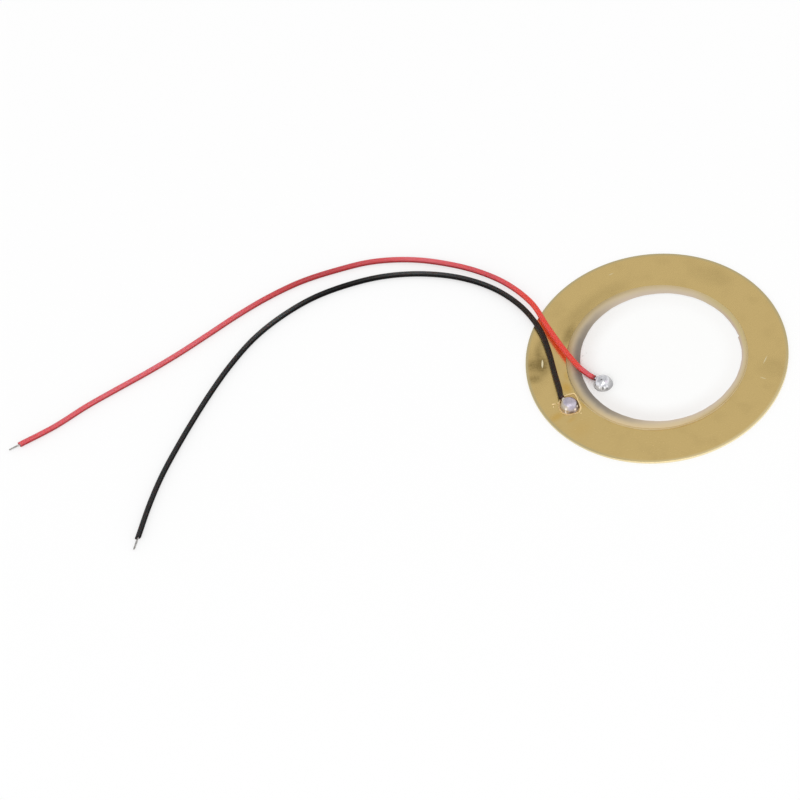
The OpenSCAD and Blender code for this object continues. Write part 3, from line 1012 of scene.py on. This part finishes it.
def ceramic_finish():
    """Satin grey tan. share goes from 0 at the ceramic's rim to 1 at the edge of the print."""
    finish = Finish("bare_ceramic", Roughness=0.42)
    place = finish.place()
    out = finish.length(finish.away(PRINT_AXIS)) - PRINT_R / MM
    share = 1 - out / (out + CERAMIC_R / MM - finish.length(place))
    grain = finish.clouds(place, 6.0, 3.0)
    patch = finish.clouds(place, 0.8, 2.0)
    side = finish.facing(place, GREY_REFLECTION_WAY, 0.12)
    # The grey on the side of the leads and the dark tone at its rim are painted dark reflection; the
    # blush is painted shade
    shade = finish.layers(
        RIM_TAN, (MARGIN_BEIGE, (share + 0.2 * patch).rise(0.0, 0.7)),
        (BLUSH, (1 - side) * share.rise(0.4, 0.9) * 0.6),
        (BRASSY, finish.facing(place, BRASSY_WAY, 0.8) * (1 - 0.5 * share) * 0.9),
        (MAUVE, finish.facing(place, MAUVE_WAY, 0.75) * share.rise(0.45, 0.85) * 0.6),
        (PALE_RIM, finish.facing(place, PALE_WAY, 0.7) * (1 - share) * 0.8),
        (RIM_DARK_REFLECTION, finish.facing(place, RIM_REFLECTION_WAY, 0.3) * (1 - share.rise(0.05, 0.4)) * 0.5),
        (MARGIN_GREY_REFLECTION, side * (share + 0.25 * (patch - 0.5)).rise(0.1, 0.8) * 0.95))
    finish.feed(Base_Color=shade, Normal=finish.bump(grain, depth=0.003 * MM))
    return finish


ceramic_finish().on(ceramic_piece)

# %% Glue finish
GLUE_TAN = srgb(199, 178, 131)


def glue_finish():
    """Satin tan, darker on the side of the leads as painted dark reflection."""
    finish = Finish("cured_glue", Roughness=0.35)
    place = finish.place()
    patch = finish.clouds(place, 0.7, 2.0)
    # Painted dark reflection on the side of the leads
    dark_side = finish.facing(place, RIM_REFLECTION_WAY, 0.62)
    finish.feed(Base_Color=finish.tint(GLUE_TAN, RIM_DARK_REFLECTION, dark_side * 0.8 + 0.15 * patch))
    return finish


glue_finish().on(glue_piece)

# %% [markdown]
# ## Silver print
#
# Fired silver paste is matt and almost white, because it is a film of tiny grains. So it isn't set
# up as a metal, which would mirror the studio. It is painted a little greyer towards its edge, most
# on the side of the leads, as painted shade. The lower electrode gets the same finish, though it is
# hidden.

# %% Silver finish
SILVER_WHITE = srgb(250, 250, 249)
# Painted shade towards the edge of the print
SILVER_EDGE_SHADE = srgb(230, 226, 223)
SPECK_GREY = srgb(190, 186, 176)
# Way in plan, in degrees, in which the painted shade at the edge is strongest
EDGE_SHADE_WAY = 210
SPECKS = [((-9.75, 1.6), (0.22, 0.12), 30, 0.2), ((-9.2, 2.0), (0.1, 0.08), 0, 0.2),
          ((-9.9, 0.9), (0.12, 0.08), 60, 0.2)]


def silver_finish():
    """Matt white, greyer towards the edge and on one side as painted shade, with a few specks by the
    red joint.
    """
    finish = Finish("silver_paint", Roughness=0.5)
    place = finish.place()
    reach = finish.length(finish.away(PRINT_AXIS)) / (PRINT_R / MM)
    grain = finish.clouds(place, 9.0, 3.0)
    # Painted shade towards the edge, strongest on the side of the leads
    side = finish.toward(place, EDGE_SHADE_WAY).rise(-0.8, 0.9)
    thin = (reach + 0.03 * finish.clouds(place, 0.5, 2.0)).rise(0.72, 1.02) * (0.25 + 0.5 * side)
    shade = finish.layers(SILVER_WHITE, (SILVER_EDGE_SHADE, thin),
                          (SPECK_GREY, finish.blots(place, *SPECKS) * 0.7))
    finish.feed(Base_Color=shade, Normal=finish.bump(grain, depth=0.002 * MM))
    return finish


silver_finish().on(silver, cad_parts["lower_electrode"])

# %% [markdown]
# ## Solder
#
# Both joints are tin solder. The red one froze bright on the smooth silver, so it mirrors the
# studio, between pale patches of oxide. Its white glints and a lavender patch are painted highlight
# and painted reflection, and its dark spots and grey flanks are painted dark reflection. The black
# one froze slowly on the heavier brass and is satin with a faint violet tone. Its cream glints and
# the pale patch by the wire are painted highlights, its brown foot is painted reflection of the
# brass, and its flanks are painted lighter and darker as painted reflection. Real solder also
# carries a thin dull skin, which is what the clouds in the roughness are for.

# %% Solder finishes
def solder_finish(name, joint, bright, dull, smooth, rough, edges, marks):
    """Metal whose colour and roughness wander together, with flanks tinted as painted reflection and
    small marks.

    An edge is (colour, way in degrees, low, high cosine, low, high radius): its cover rises where
    a point lies that way from the joint's axis and that far out; the edges are painted reflection. A
    mark is (colour, blots). Marks are painted highlights, painted reflections and pale oxide, and they
    are set as not metal and rougher."""
    finish = Finish(name)
    local = finish.away(joint)
    flat = finish.stretched(local, (1, 1, 0))
    skin = finish.clouds(local, 1.6, 3.0).rise(0.35, 0.65)
    shade = finish.tint(bright, dull, skin)
    for colour, way, low, high, near, far in edges:
        cover = finish.toward(flat, way).rise(low, high) * finish.length(flat).rise(near, far)
        shade = finish.tint(shade, colour, cover)
    covers = [(colour, finish.blots(local, *blots)) for colour, blots in marks]
    matt = sum(cover for _, cover in covers)
    finish.feed(Base_Color=finish.layers(shade, *covers), Metallic=1 - matt,
                Roughness=smooth + (rough - smooth) * skin + 0.3 * matt)
    return finish


# Painted dark reflection on the flanks and foot
RED_FLANK_REFLECTIONS = [(srgb(188, 187, 188), 20, 0.0, 0.8, 0.75, 0.95),
             (srgb(176, 174, 174), 20, -1.2, -1.1, 1.1, 1.22),
             (srgb(176, 176, 178), 20, 0.2, 0.9, 1.05, 1.2)]
RED_PALE = [((-0.48, -0.88, 0.35), (0.95, 0.36, 0.55), 150, 0.3)]
# Painted highlights: white glints
RED_PAINTED_GLINTS = [((-0.53, -0.97, 0.57), (0.24, 0.2, 0.3)), ((0.14, -1.08, 0.59), (0.2, 0.2, 0.3)),
             ((0.47, -0.95, 0.64), (0.18, 0.16, 0.2)), ((0.01, -0.48, 1.04), (0.34, 0.2, 0.3), 60)]
# Painted reflection: a lavender patch beside the main glint
RED_LAVENDER_REFLECTION = [((0.41, -0.42, 1.0), (0.26, 0.3, 0.3))]
# Painted dark reflection: dark spots
RED_DARK_REFLECTION_SPOTS = [((-0.18, -0.05, 1.09), (0.2, 0.2, 0.25), 0, 0.3),
             ((-0.12, -1.1, 0.5), (0.15, 0.26, 0.48), 0, 0.2),
             ((0.42, -1.13, 0.31), (0.18, 0.18, 0.24))]
# Painted reflection on the flanks: lighter to the left and top, dark brown to the right
BLACK_FLANK_REFLECTIONS = [(srgb(196, 186, 172), 190, 0.1, 0.7, 0.72, 0.86),
               (srgb(196, 184, 160), 90, 0.2, 0.7, 0.85, 1.05),
               (srgb(104, 88, 74), 35, 0.1, 0.6, 0.9, 1.04)]
# Painted highlights: cream glints low on the front
BLACK_PAINTED_GLINTS = [((-0.53, -0.93, 0.6), (0.24, 0.22, 0.3), 0, 0.2),
               ((0.7, -0.97, 0.36), (0.26, 0.22, 0.3), 0, 0.2),
               ((-0.6, -1.08, 0.2), (0.16, 0.2, 0.28), 0, 0.2), ((1.0, -0.54, 0.5), (0.2, 0.26, 0.2))]
# Painted highlights: pale glints where the wire goes in
BLACK_WICK_GLINTS = [((-0.66, 0.76, 0.76), (0.32, 0.3, 0.3)), ((-0.8, 0.5, 0.75), (0.2, 0.24, 0.3))]
# Painted reflection of the brass: dark brown at the front of the foot
BLACK_FOOT_REFLECTION = [((0.12, -1.22, 0.08), (0.66, 0.34, 0.24), 6, 0.3)]
solder_finish("bright_solder", RED_JOINT, bright=srgb(236, 236, 240), dull=srgb(196, 196, 202),
              smooth=0.12, rough=0.26, edges=RED_FLANK_REFLECTIONS,
              marks=[(srgb(206, 203, 200), RED_PALE), (srgb(255, 255, 255), RED_PAINTED_GLINTS),
                     (srgb(222, 208, 224), RED_LAVENDER_REFLECTION), (srgb(84, 82, 80), RED_DARK_REFLECTION_SPOTS)]).on(red_joint)
solder_finish("satin_solder", BLACK_JOINT, bright=srgb(206, 199, 211), dull=srgb(182, 175, 188),
              smooth=0.4, rough=0.5, edges=BLACK_FLANK_REFLECTIONS,
              marks=[(srgb(112, 88, 66), BLACK_FOOT_REFLECTION), (srgb(212, 206, 202), BLACK_WICK_GLINTS),
                     (srgb(255, 244, 232), BLACK_PAINTED_GLINTS)]).on(black_joint)

# %% [markdown]
# ## Flux
#
# Dried rosin is clear amber. Where the film is thin only its raised rim shows, painted pale and
# bright as a painted highlight, most on one side. The film carries how far each point is from its
# edge, and that drives colour and cover.

# %% Flux finish
FLUX_AMBER = srgb(196, 148, 70)
FLUX_RIM_HIGHLIGHT = srgb(250, 220, 160)
# Way in plan, in degrees, in which the painted highlight on the rim is strongest
FLUX_HIGHLIGHT_WAY = 50
# Distances from the edge, in mm, between which the painted highlight on the rim fades into the amber
# film
RIM_FADE = (0.14, 0.3)


def flux_finish():
    """Clear gloss whose cover is strong at the rim, half there on a spat drop and faint between; the
    pale rim and its stronger cover on one side are a painted highlight.
    """
    finish = Finish("dried_flux", Roughness=0.12, IOR=1.52)
    from_edge = finish.node("ShaderNodeAttribute", {"attribute_name": "from_edge"}, out="Fac")
    flat = finish.stretched(finish.away(BLACK_JOINT), (1, 1, 0))
    # The pale rim colour is a painted highlight
    rim = 1 - from_edge.rise(*RIM_FADE)
    drop = 1 - from_edge.rise(-DROP_MARK / MM, 0)
    # The rim's cover is stronger on one side as a painted highlight
    strong = 0.35 + 0.6 * finish.toward(flat, FLUX_HIGHLIGHT_WAY).rise(-0.4, 0.4)
    finish.feed(Base_Color=finish.tint(FLUX_AMBER, FLUX_RIM_HIGHLIGHT, rim),
                Alpha=0.08 + rim * strong + 0.4 * drop)
    return finish


flux_finish().on(flux)

# %% [markdown]
# ## Sleeves and strands
#
# Soft PVC is satin. Over the plate its tone is painted warmer, as painted light cast up by the
# brass, and further on it has its own tone, with some stretches painted deeper or paler as painted
# sheen. Its flanks are painted deeper as painted shade and are less glossy than its top, and the cut
# at the joint is painted dark as painted shade. So the tone follows how far along and which way round
# the sleeve a point is, which the mesh carries.

# %% Sleeve finishes
# Painted shade at the cut by the joint
CUT_END_SHADE = srgb(70, 42, 38)
# Distances from the joint, in mm, between which the painted warm light over the plate and the painted
# shade at the cut fade out
PLATE_LIGHT_FADE, CUT_SHADE_FADE = (12, 24), (0.05, 0.5)
# 1 - the cosine of the turn from the top, between which the painted shade on the flanks and the
# painted glow fade in
FLANK_FADE, GLOW_FADE = (0.16, 0.64), (0.7, 1.4)
GLOSS = 0.2


def pvc_finish(name, plate_lit, far_tone, deep, glow, pale, start, deeper, paler, lean):
    """Soft PVC that is painted warmer near its joint, as painted light from the brass, and deeper on
    its flanks as painted shade.

    The warmer stretch begins between the two distances in start, in mm from the joint. deeper and
    paler list stretches of painted sheen by middle and half length in mm, and strength. lean turns
    the painted shade on the flanks towards one side. PVC passes a little light, and over the plate
    its underside glows, painted light for the light that the brass casts up on it."""
    finish = Finish(name, Roughness=0.34, Specular_IOR_Level=0.03, Coat_Roughness=0.34,
                    Emission_Strength=1.0, Subsurface_Weight=0.6,
                    Subsurface_Radius=(1, 0.25, 0.15), Subsurface_Scale=0.6 * MM)
    lay = finish.node("ShaderNodeAttribute", {"attribute_name": "lay"}, out="Vector")
    along, side, over = finish.split(lay)
    wear = finish.node("ShaderNodeTexNoise", {"noise_dimensions": "1D"},
                       {"W": along, "Scale": 0.25, "Detail": 3.0})
    # Over the plate the tone is painted warmer, as painted light cast up by the brass
    near = along.rise(*start) * (1 - along.rise(*PLATE_LIGHT_FADE))
    shade = finish.tint(far_tone, plate_lit, (near + 0.3 * wear).rise(0.1, 1.0))
    # Deeper and paler stretches along the sleeve are painted sheen
    for colour, stretches in ((deep, deeper), (pale, paler)):
        cover = sum(finish.blot(lay, (middle, 0), (half, TALL), strength=strength)
                    for middle, half, strength in stretches)
        shade = finish.tint(shade, colour, cover)
    # Painted shade on the flanks, and at the cut by the joint
    flank = (1 - over + lean * side).rise(*FLANK_FADE) * (1 - 0.8 * near)
    shade = finish.layers(shade, (deep, flank * 0.9),
                          (CUT_END_SHADE, (1 - along.rise(*CUT_SHADE_FADE)) * 0.6))
    # The glow under the sleeve over the plate is painted light cast up by the brass
    under = (1 - over).rise(*GLOW_FADE)
    finish.feed(Base_Color=shade, Coat_Weight=GLOSS * (1 - flank),
                Emission_Color=finish.tint((0, 0, 0), glow, near * under),
                Normal=finish.bump(finish.clouds(finish.place(), 5.0, 2.0), depth=0.01 * MM))
    return finish


pvc_finish("red_pvc", plate_lit=srgb(221, 80, 70), far_tone=srgb(211, 94, 100), deep=srgb(156, 50, 52),
           glow=srgb(176, 54, 38), pale=srgb(228, 146, 158), start=(1.5, 4.0),
           deeper=[(48, 14, 0.55), (24, 4, 0.2)], paler=[(33, 6, 0.15), (74, 24, 0.22)],
           lean=0.15).on(red_sleeve)
pvc_finish("black_pvc", plate_lit=srgb(46, 37, 32), far_tone=srgb(52, 51, 51), deep=srgb(16, 15, 15),
           glow=srgb(4, 3, 2), pale=srgb(96, 96, 96), start=(0.1, 0.6),
           deeper=[(43.5, 9, 0.85), (92, 36, 0.3)], paler=[(32, 8, 0.35), (54, 7, 0.4)],
           lean=-0.25).on(black_sleeve)

# %% Strand finish
TIN_BRIGHT = srgb(206, 204, 202)
TIN_DULL = srgb(172, 168, 164)


def strand_finish():
    """Satin tin with duller spots."""
    finish = Finish("tinned_copper", Metallic=1.0, Roughness=0.3)
    spots = finish.clouds(finish.place(), 2.5, 2.0).rise(0.4, 0.65)
    finish.feed(Base_Color=finish.tint(TIN_BRIGHT, TIN_DULL, spots))
    return finish


strand_finish().on(red_strands, black_strands)

# %% [markdown]
# ## Floor and light
#
# The studio is a white table under an even sky, with a softbox overhead and a small one in front
# for the glints on the solder. To the camera and to mirrors the table is mostly a plain white
# light, which keeps it clean, and partly a real white surface, which keeps the soft shadow.

# %% Floor
FLOOR_GAP = 0.02 * MM
FLOOR_SIZE = 3.0
FLOOR_GLOW = 0.6
FLOOR_WHITE = (0.95, 0.95, 0.95)


def make_floor():
    """A large square just under the part, mixed from a white surface and a white light."""
    low, high = -FLOOR_SIZE / 2, FLOOR_SIZE / 2
    corners = [(x, y, -FLOOR_GAP) for x, y in ((low, low), (high, low), (high, high), (low, high))]
    mesh = bpy.data.meshes.new("floor")
    mesh.from_pydata(corners, [], [(0, 1, 2, 3)])
    floor = linked("floor", mesh)
    finish = Finish("floor", Base_Color=FLOOR_WHITE, Roughness=0.9, Specular_IOR_Level=0.0)
    finish.glow(finish.seen() * FLOOR_GLOW)
    finish.on(floor)


make_floor()

# %% Lights
def make_light(name, turn, rise, distance, size, radiance):
    """A square lamp that faces the part from a turn and a rise in degrees.

    The power that gives a radiance is radiance * pi * area."""
    back = heading(turn, rise)
    across = np.cross([0, 0, 1], back)
    across /= np.linalg.norm(across)
    data = bpy.data.lights.new(name, "AREA")
    data.shape, data.size = "SQUARE", size
    data.energy = radiance * math.pi * size**2
    linked(name, data).matrix_world = posed(across, np.cross(back, across), back, distance * back)
    print(f"{name}: {data.energy:.2f} W")


make_light("overhead", turn=-91, rise=72, distance=0.8, size=0.28, radiance=3.5)
make_light("front_left", turn=-125, rise=40, distance=0.8, size=0.14, radiance=4.0)

# %% Sky
SKY = 1.0
# The darker patch: its depth as a share, the rise of its middle above +Y in degrees, and the
# cosines of the angle from there, about 60 and 20 degrees, at its edge and where it is full
SKY_DIP = 0.3
SKY_DIP_RISE = 52
SKY_DIP_EDGE, SKY_DIP_FULL = 0.5, 0.94


def make_world():
    """An even white sky that is darker behind the part, where the brass mirrors it.

    With c the cosine of the angle from the middle of the darker patch, the sky is
    sky * (1 - dip * S(c)), where S is an S curve from 0 at the patch's edge to 1 where it is full."""
    world = bpy.data.worlds.new("studio")
    world.use_nodes = True
    bpy.context.scene.world = world
    sky = Nodes(world.node_tree)
    rise = math.radians(SKY_DIP_RISE)
    near = sky.node("ShaderNodeVectorMath", {"operation": "DOT_PRODUCT"},
                    {0: sky.node("ShaderNodeTexCoord", out="Generated"),
                     1: (0, math.cos(rise), math.sin(rise))}, out="Value")
    background = world.node_tree.nodes["Background"]
    sky.set(background, "Color", (1, 1, 1))
    sky.set(background, "Strength", SKY * (1 - SKY_DIP * near.rise(SKY_DIP_EDGE, SKY_DIP_FULL)))
    print(f"sky {SKY:.1f}, down by {100 * SKY_DIP:.0f}% behind the part")


make_world()
bpy.context.scene.view_settings.view_transform = "Standard"
